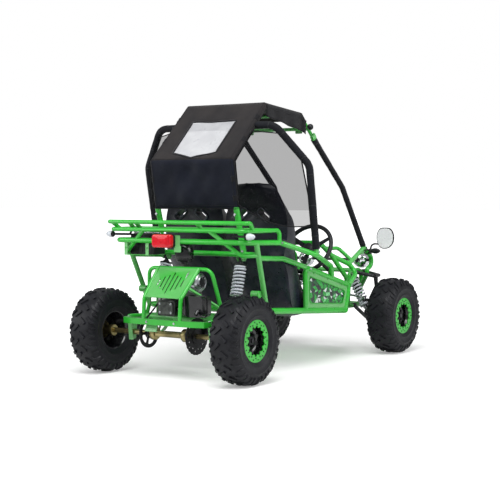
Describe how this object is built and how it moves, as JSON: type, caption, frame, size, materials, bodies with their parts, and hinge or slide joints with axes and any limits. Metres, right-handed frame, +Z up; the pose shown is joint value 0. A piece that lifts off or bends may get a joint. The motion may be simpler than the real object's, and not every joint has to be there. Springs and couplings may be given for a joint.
{
  "type": "off road go kart",
  "caption": "Two-seat off road go kart: bent-tube frame with roll hoop, cloth canopy, cargo rack, sprung axles and knobbly tyres.",
  "frame": {"origin": "on the ground, midway between the axles and between the wheels", "axes": "+X to the kart's right, +Y forward along its length, +Z up from the ground"},
  "size_m": [1.0006, 1.824, 1.2967],
  "materials": {
    "green_paint": "bright green powder coat, semi-gloss",
    "black_paint": "black powder coat, satin",
    "black_plastic": "moulded black plastic, matt",
    "lamp_chrome": "chromed lamp bowls on a bar",
    "hoop_foam": "black foam sleeve over the hoop",
    "canopy_cloth": "black woven cloth",
    "net_mesh": "grey open net",
    "seat_vinyl": "black vinyl over foam, stitched",
    "tyre_rubber": "black rubber, matt, knobbly tread",
    "bright_steel": "bare or zinc plated steel",
    "spring_white": "white powder coated spring wire",
    "zinc_plate": "yellow zinc plated steel",
    "cast_alloy": "cast alloy, bead blasted",
    "red_lens": "red moulded lens"
  },
  "bodies": {
    "chassis": {"floor_frame": "green_paint", "side_frame_left": "green_paint", "side_frame_right": "green_paint", "front_frame": "green_paint", "rear_frame": "green_paint", "roll_hoop": "hoop_foam", "canopy_frame": "black_paint", "canopy_cover": "canopy_cloth", "side_net_left": "net_mesh", "side_net_right": "net_mesh", "cargo_rack": "green_paint", "seat_left": "seat_vinyl", "seat_right": "seat_vinyl", "headlights": "lamp_chrome", "tail_lamp": "red_lens", "battery_box": "black_plastic"},
    "cradle": {"rear_cradle": "green_paint", "axle_carrier": "black_paint", "engine": "cast_alloy", "air_filter": "black_plastic"},
    "rear_axle": {"axle_shaft": "zinc_plate", "sprocket": "bright_steel", "brake_disc": "bright_steel", "rear_rim_left": "green_paint", "rear_rim_right": "green_paint", "rear_tyre_left": "tyre_rubber", "rear_tyre_right": "tyre_rubber"},
    "steering_wheel": {"steering_wheel": "black_plastic"},
    "steering_shaft": {"steering_shaft": "bright_steel"},
    "steering_rack": {"steering_rack": "bright_steel"},
    "throttle_pedal": {"throttle_pedal": "black_plastic"},
    "brake_pedal": {"brake_pedal": "black_plastic"},
    "lower_arm_left": {"lower_arm_left": "black_paint"},
    "upper_arm_left": {"upper_arm_left": "black_paint"},
    "kingpin_bracket_left": {"kingpin_bracket_left": "black_paint"},
    "knuckle_left": {"knuckle_left": "black_paint"},
    "tie_rod_left": {"tie_rod_left": "bright_steel"},
    "front_wheel_left": {"front_rim_left": "green_paint", "front_tyre_left": "tyre_rubber"},
    "front_shock_body_left": {"front_shock_body_left": "black_paint", "front_spring_left": "spring_white"},
    "front_shock_rod_left": {"front_shock_rod_left": "bright_steel"},
    "rear_shock_body_left": {"rear_shock_body_left": "black_paint", "rear_spring_left": "spring_white"},
    "rear_shock_rod_left": {"rear_shock_rod_left": "bright_steel"},
    "mirror_left": {"mirror_left": "black_plastic"},
    "lower_arm_right": {"lower_arm_right": "black_paint"},
    "upper_arm_right": {"upper_arm_right": "black_paint"},
    "kingpin_bracket_right": {"kingpin_bracket_right": "black_paint"},
    "knuckle_right": {"knuckle_right": "black_paint"},
    "tie_rod_right": {"tie_rod_right": "bright_steel"},
    "front_wheel_right": {"front_rim_right": "green_paint", "front_tyre_right": "tyre_rubber"},
    "front_shock_body_right": {"front_shock_body_right": "black_paint", "front_spring_right": "spring_white"},
    "front_shock_rod_right": {"front_shock_rod_right": "bright_steel"},
    "rear_shock_body_right": {"rear_shock_body_right": "black_paint", "rear_spring_right": "spring_white"},
    "rear_shock_rod_right": {"rear_shock_rod_right": "bright_steel"},
    "mirror_right": {"mirror_right": "black_plastic"}
  },
  "joints": [
    {"name": "cradle_swing", "type": "hinge", "parent": "chassis", "child": "cradle", "pos_m": [0, -0.378, 0.262], "axis": [-1, 0, 0], "range_deg": [0, 7], "stiffness_Nm_per_rad": 1500, "springref_deg": -17.19},
    {"name": "rear_axle_spin", "type": "hinge", "parent": "cradle", "child": "rear_axle", "pos_m": [0, -0.708, 0.203], "axis": [1, 0, 0], "continuous": true},
    {"name": "steering_wheel_turn", "type": "hinge", "parent": "chassis", "child": "steering_wheel", "pos_m": [0.212, 0.148, 0.578], "axis": [0, 0.866, -0.5], "range_deg": [-120, 120]},
    {"name": "steering_shaft_turn", "type": "hinge", "parent": "chassis", "child": "steering_shaft", "pos_m": [0.212, 0.36044, 0.45535], "axis": [-0.3922, 0.832, -0.3924], "range_deg": [-121, 121]},
    {"name": "rack_slide", "type": "slide", "parent": "chassis", "child": "steering_rack", "axis": [1, 0, 0], "range_m": [-0.0296, 0.0296]},
    {"name": "throttle_press", "type": "hinge", "parent": "chassis", "child": "throttle_pedal", "pos_m": [0.16, 0.542, 0.252], "axis": [-1, 0, 0], "range_deg": [0, 18], "stiffness_Nm_per_rad": 6, "springref_deg": -17.19},
    {"name": "brake_press", "type": "hinge", "parent": "chassis", "child": "brake_pedal", "pos_m": [0.066, 0.542, 0.252], "axis": [-1, 0, 0], "range_deg": [0, 18], "stiffness_Nm_per_rad": 6, "springref_deg": -17.19},
    {"name": "lower_arm_swing_right", "type": "hinge", "parent": "chassis", "child": "lower_arm_right", "pos_m": [0.1953, 0.708, 0.25], "axis": [0, -1, 0], "range_deg": [0, 8], "stiffness_Nm_per_rad": 250, "springref_deg": -20.05},
    {"name": "upper_arm_swing_right", "type": "hinge", "parent": "chassis", "child": "upper_arm_right", "pos_m": [0.2028, 0.708, 0.432], "axis": [0, -1, 0], "range_deg": [0, 9.9]},
    {"name": "kingpin_bracket_swing_right", "type": "hinge", "parent": "lower_arm_right", "child": "kingpin_bracket_right", "pos_m": [0.322, 0.708, 0.14], "axis": [0, -1, 0], "range_deg": [-5.5, 0]},
    {"name": "knuckle_steer_right", "type": "hinge", "parent": "kingpin_bracket_right", "child": "knuckle_right", "pos_m": [0.322, 0.708, 0.14], "axis": [-0.0656, 0, 0.9978], "range_deg": [-20.2, 20.2]},
    {"name": "tie_rod_turn_right", "type": "hinge", "parent": "knuckle_right", "child": "tie_rod_right", "pos_m": [0.286, 0.616, 0.29749], "axis": [0, 0, 1], "range_deg": [-24.5, 24.5]},
    {"name": "front_wheel_spin_right", "type": "hinge", "parent": "knuckle_right", "child": "front_wheel_right", "pos_m": [0.414, 0.708, 0.203], "axis": [1, 0, 0], "continuous": true},
    {"name": "front_shock_swing_right", "type": "hinge", "parent": "chassis", "child": "front_shock_body_right", "pos_m": [0.158, 0.696, 0.416], "axis": [0, -1, 0], "range_deg": [0, 2.1]},
    {"name": "front_shock_stroke_right", "type": "slide", "parent": "front_shock_body_right", "child": "front_shock_rod_right", "axis": [-0.4725, 0, 0.8813], "range_m": [0, 0.0069], "deforming": ["front_spring_right"]},
    {"name": "rear_shock_swing_right", "type": "hinge", "parent": "chassis", "child": "rear_shock_body_right", "pos_m": [0.222, -0.464, 0.552], "axis": [-1, 0, 0], "range_deg": [-2.3, 0]},
    {"name": "rear_shock_stroke_right", "type": "slide", "parent": "rear_shock_body_right", "child": "rear_shock_rod_right", "axis": [0, 0.2607, 0.9654], "range_m": [0, 0.019], "deforming": ["rear_spring_right"]},
    {"name": "mirror_turn_right", "type": "hinge", "parent": "chassis", "child": "mirror_right", "pos_m": [0.2678, 0.712, 0.54187], "axis": [0, 0, 1], "range_deg": [-15, 15]},
    {"name": "lower_arm_swing_left", "type": "hinge", "parent": "chassis", "child": "lower_arm_left", "pos_m": [-0.1953, 0.708, 0.25], "axis": [0, 1, 0], "range_deg": [0, 8], "stiffness_Nm_per_rad": 250, "springref_deg": -20.05},
    {"name": "upper_arm_swing_left", "type": "hinge", "parent": "chassis", "child": "upper_arm_left", "pos_m": [-0.2028, 0.708, 0.432], "axis": [0, 1, 0], "range_deg": [0, 9.9]},
    {"name": "kingpin_bracket_swing_left", "type": "hinge", "parent": "lower_arm_left", "child": "kingpin_bracket_left", "pos_m": [-0.322, 0.708, 0.14], "axis": [0, 1, 0], "range_deg": [-5.5, 0]},
    {"name": "knuckle_steer_left", "type": "hinge", "parent": "kingpin_bracket_left", "child": "knuckle_left", "pos_m": [-0.322, 0.708, 0.14], "axis": [0.0656, 0, 0.9978], "range_deg": [-20.2, 20.2]},
    {"name": "tie_rod_turn_left", "type": "hinge", "parent": "knuckle_left", "child": "tie_rod_left", "pos_m": [-0.286, 0.616, 0.29749], "axis": [0, 0, 1], "range_deg": [-24.5, 24.5]},
    {"name": "front_wheel_spin_left", "type": "hinge", "parent": "knuckle_left", "child": "front_wheel_left", "pos_m": [-0.414, 0.708, 0.203], "axis": [1, 0, 0], "continuous": true},
    {"name": "front_shock_swing_left", "type": "hinge", "parent": "chassis", "child": "front_shock_body_left", "pos_m": [-0.158, 0.696, 0.416], "axis": [0, 1, 0], "range_deg": [0, 2.1]},
    {"name": "front_shock_stroke_left", "type": "slide", "parent": "front_shock_body_left", "child": "front_shock_rod_left", "axis": [0.4725, 0, 0.8813], "range_m": [0, 0.0069], "deforming": ["front_spring_left"]},
    {"name": "rear_shock_swing_left", "type": "hinge", "parent": "chassis", "child": "rear_shock_body_left", "pos_m": [-0.222, -0.464, 0.552], "axis": [-1, 0, 0], "range_deg": [-2.3, 0]},
    {"name": "rear_shock_stroke_left", "type": "slide", "parent": "rear_shock_body_left", "child": "rear_shock_rod_left", "axis": [0, 0.2607, 0.9654], "range_m": [0, 0.019], "deforming": ["rear_spring_left"]},
    {"name": "mirror_turn_left", "type": "hinge", "parent": "chassis", "child": "mirror_left", "pos_m": [-0.2678, 0.712, 0.54187], "axis": [0, 0, 1], "range_deg": [-15, 15]}
  ],
  "couplings": [
    {"joint": "steering_shaft_turn", "follows": "steering_wheel_turn", "ratio": 1},
    {"joint": "rack_slide", "follows": "steering_wheel_turn", "m_per_rad": -0.014013},
    {"joint": "upper_arm_swing_right", "follows": "lower_arm_swing_right", "ratio": 1.23},
    {"joint": "kingpin_bracket_swing_right", "follows": "lower_arm_swing_right", "ratio": -0.675},
    {"joint": "knuckle_steer_right", "follows": "steering_wheel_turn", "ratio": -0.16667},
    {"joint": "tie_rod_turn_right", "follows": "steering_wheel_turn", "ratio": 0.2015},
    {"joint": "front_shock_swing_right", "follows": "lower_arm_swing_right", "ratio": 0.2477},
    {"joint": "front_shock_stroke_right", "follows": "lower_arm_swing_right", "m_per_rad": 0.0484},
    {"joint": "rear_shock_swing_right", "follows": "cradle_swing", "ratio": -0.3184},
    {"joint": "rear_shock_stroke_right", "follows": "cradle_swing", "m_per_rad": 0.154},
    {"joint": "upper_arm_swing_left", "follows": "lower_arm_swing_left", "ratio": 1.23},
    {"joint": "kingpin_bracket_swing_left", "follows": "lower_arm_swing_left", "ratio": -0.675},
    {"joint": "knuckle_steer_left", "follows": "steering_wheel_turn", "ratio": -0.16667},
    {"joint": "tie_rod_turn_left", "follows": "steering_wheel_turn", "ratio": 0.2015},
    {"joint": "front_shock_swing_left", "follows": "lower_arm_swing_left", "ratio": 0.2477},
    {"joint": "front_shock_stroke_left", "follows": "lower_arm_swing_left", "m_per_rad": 0.0484},
    {"joint": "rear_shock_swing_left", "follows": "cradle_swing", "ratio": -0.3184},
    {"joint": "rear_shock_stroke_left", "follows": "cradle_swing", "m_per_rad": 0.154}
  ]
}
